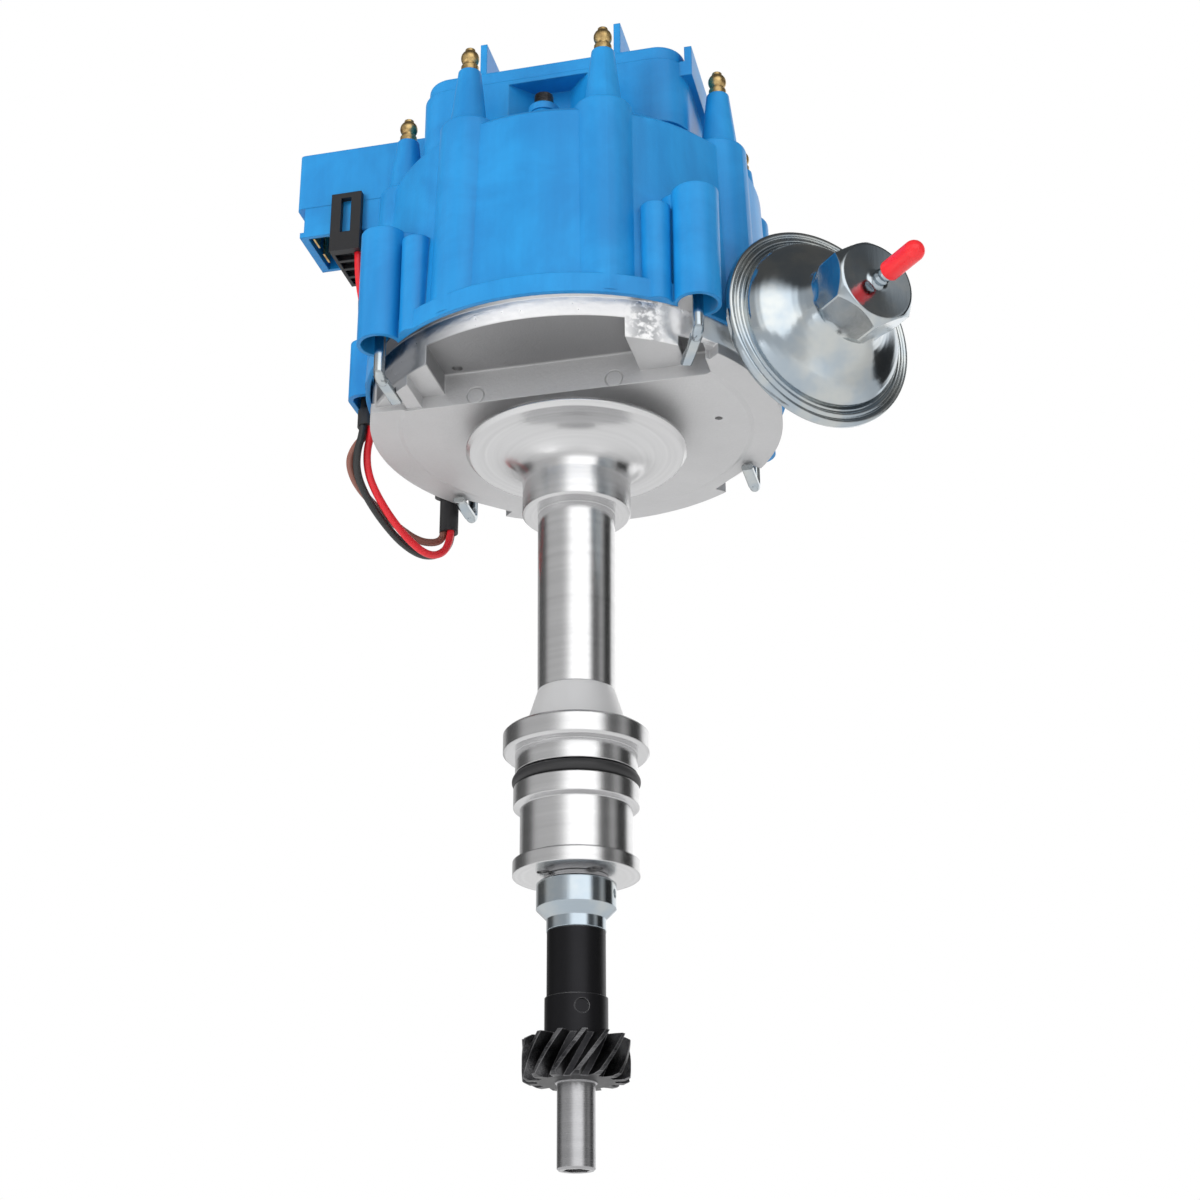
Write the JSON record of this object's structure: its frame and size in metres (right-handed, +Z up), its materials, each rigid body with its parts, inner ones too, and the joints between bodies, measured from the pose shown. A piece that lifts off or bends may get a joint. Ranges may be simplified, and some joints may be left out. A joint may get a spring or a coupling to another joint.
{
  "type": "ignition distributor",
  "caption": "Large-cap ignition distributor with a coil in its cap, vacuum advance, helical drive gear and a three-wire harness.",
  "frame": {"origin": "centre of the mounting flange's underside, on the shaft's axis", "axes": "+Z up along the shaft towards the cap, +X along the coil cover away from its plug box"},
  "size_m": [0.2496, 0.158, 0.4206],
  "materials": {
    "cast_aluminium": "as-cast and turned",
    "bronze": "sintered",
    "rubber": "matt",
    "ground_steel": "ground",
    "zinc_steel": "zinc plated, bright",
    "black_steel": "black oxide",
    "blue_plastic": "satin, glass filled",
    "black_plastic": "matt",
    "brass": "bright",
    "red_rubber": "glossy",
    "red_insulation": "satin",
    "brown_insulation": "satin",
    "copper": "enamelled",
    "magnet": "moulded"
  },
  "bodies": {
    "distributor_body": {"housing": "cast_aluminium", "lower_bushing": "bronze", "upper_bushing": "bronze", "stem_o_ring": "rubber", "shaft_seal": "rubber", "cap": "blue_plastic", "spark_terminals": "brass", "supply_terminals": "brass", "coil_cover": "blue_plastic", "cover_screws": "black_steel", "coil_core": "ground_steel", "coil_winding": "black_plastic", "coil_screws": "ground_steel", "coil_seal": "rubber", "contact_spring": "ground_steel", "coil_contact": "magnet", "latch_springs": "ground_steel", "vacuum_front_shell": "zinc_steel", "vacuum_back_shell": "zinc_steel", "vacuum_screws": "ground_steel", "vacuum_diaphragm": "rubber", "vacuum_spring": "ground_steel", "pickup_retainer": "ground_steel", "ignition_module": "black_plastic", "module_screws": "ground_steel", "capacitor": "zinc_steel", "capacitor_screw": "ground_steel", "harness_plug": "black_plastic", "upper_sleeve": "rubber", "lower_sleeve": "rubber", "harness_grommet": "rubber", "red_wire": "red_insulation", "black_wire": "rubber", "brown_wire": "brown_insulation"},
    "shaft_body": {"shaft": "ground_steel", "thrust_washer": "ground_steel", "thrust_collar": "zinc_steel", "collar_pin": "zinc_steel", "drive_gear": "black_steel", "gear_pin": "black_steel", "advance_cam": "ground_steel"},
    "advance": {"reluctor": "ground_steel", "weight_base": "zinc_steel", "advance_springs": "ground_steel", "rotor": "black_plastic", "rotor_blade": "brass", "rotor_screws": "ground_steel"},
    "weight_a_body": {"weight_a": "ground_steel"},
    "weight_b_body": {"weight_b": "ground_steel"},
    "pickup": {"pickup_plate": "ground_steel", "pickup_magnet": "magnet", "pickup_coil": "copper", "pole_piece": "ground_steel"},
    "pull_rod": {"vacuum_rod": "zinc_steel"},
    "adjuster": {"adjuster_screw": "brass"},
    "port_cap": {"vacuum_port_cap": "red_rubber"},
    "latch_1_body": {"latch_1": "zinc_steel"},
    "latch_2_body": {"latch_2": "zinc_steel"},
    "latch_3_body": {"latch_3": "zinc_steel"},
    "latch_4_body": {"latch_4": "zinc_steel"}
  },
  "joints": [
    {"name": "shaft_spin", "type": "hinge", "parent": "distributor_body", "child": "shaft_body", "pos_m": [0, 0, 0], "axis": [0, 0, 1], "continuous": true},
    {"name": "advance_turn", "type": "hinge", "parent": "shaft_body", "child": "advance", "pos_m": [0, 0, 0.163], "axis": [0, 0, 1], "range_deg": [0, 11], "stiffness_Nm_per_rad": 0.3},
    {"name": "weight_a_swing", "type": "hinge", "parent": "advance", "child": "weight_a_body", "pos_m": [-0.025, 0.0075, 0.167], "axis": [0, 0, 1], "range_deg": [0, 20]},
    {"name": "weight_b_swing", "type": "hinge", "parent": "advance", "child": "weight_b_body", "pos_m": [0.025, -0.0075, 0.167], "axis": [0, 0, 1], "range_deg": [0, 20]},
    {"name": "pickup_turn", "type": "hinge", "parent": "distributor_body", "child": "pickup", "pos_m": [0, 0, 0.139], "axis": [0, 0, -1], "range_deg": [0, 10], "stiffness_Nm_per_rad": 0.6},
    {"name": "vacuum_rod_slide", "type": "slide", "parent": "distributor_body", "child": "pull_rod", "axis": [0.6717, -0.7408, 0], "range_m": [0, 0.009], "deforming": ["vacuum_spring"]},
    {"name": "adjuster_turn", "type": "hinge", "parent": "distributor_body", "child": "adjuster", "pos_m": [0.11229, -0.04802, 0.1418], "axis": [0.6717, -0.7408, 0], "range_deg": [0, 720]},
    {"name": "port_cap_pull", "type": "slide", "parent": "distributor_body", "child": "port_cap", "axis": [0.6717, -0.7408, 0], "range_m": [0, 0.02]},
    {"name": "latch_1_turn", "type": "hinge", "parent": "distributor_body", "child": "latch_1_body", "pos_m": [-0.05784, -0.05784, 0.15], "axis": [0, 0, 1], "range_deg": [0, 150]},
    {"name": "latch_2_turn", "type": "hinge", "parent": "distributor_body", "child": "latch_2_body", "pos_m": [0.05784, -0.05784, 0.15], "axis": [0, 0, 1], "range_deg": [0, 150]},
    {"name": "latch_3_turn", "type": "hinge", "parent": "distributor_body", "child": "latch_3_body", "pos_m": [0.05784, 0.05784, 0.15], "axis": [0, 0, 1], "range_deg": [0, 150]},
    {"name": "latch_4_turn", "type": "hinge", "parent": "distributor_body", "child": "latch_4_body", "pos_m": [-0.05784, 0.05784, 0.15], "axis": [0, 0, 1], "range_deg": [0, 150]}
  ],
  "couplings": [
    {"joint": "weight_a_swing", "follows": "advance_turn", "ratio": 1.8},
    {"joint": "weight_b_swing", "follows": "advance_turn", "ratio": 1.8},
    {"joint": "vacuum_rod_slide", "follows": "pickup_turn", "m_per_rad": 0.0506}
  ]
}
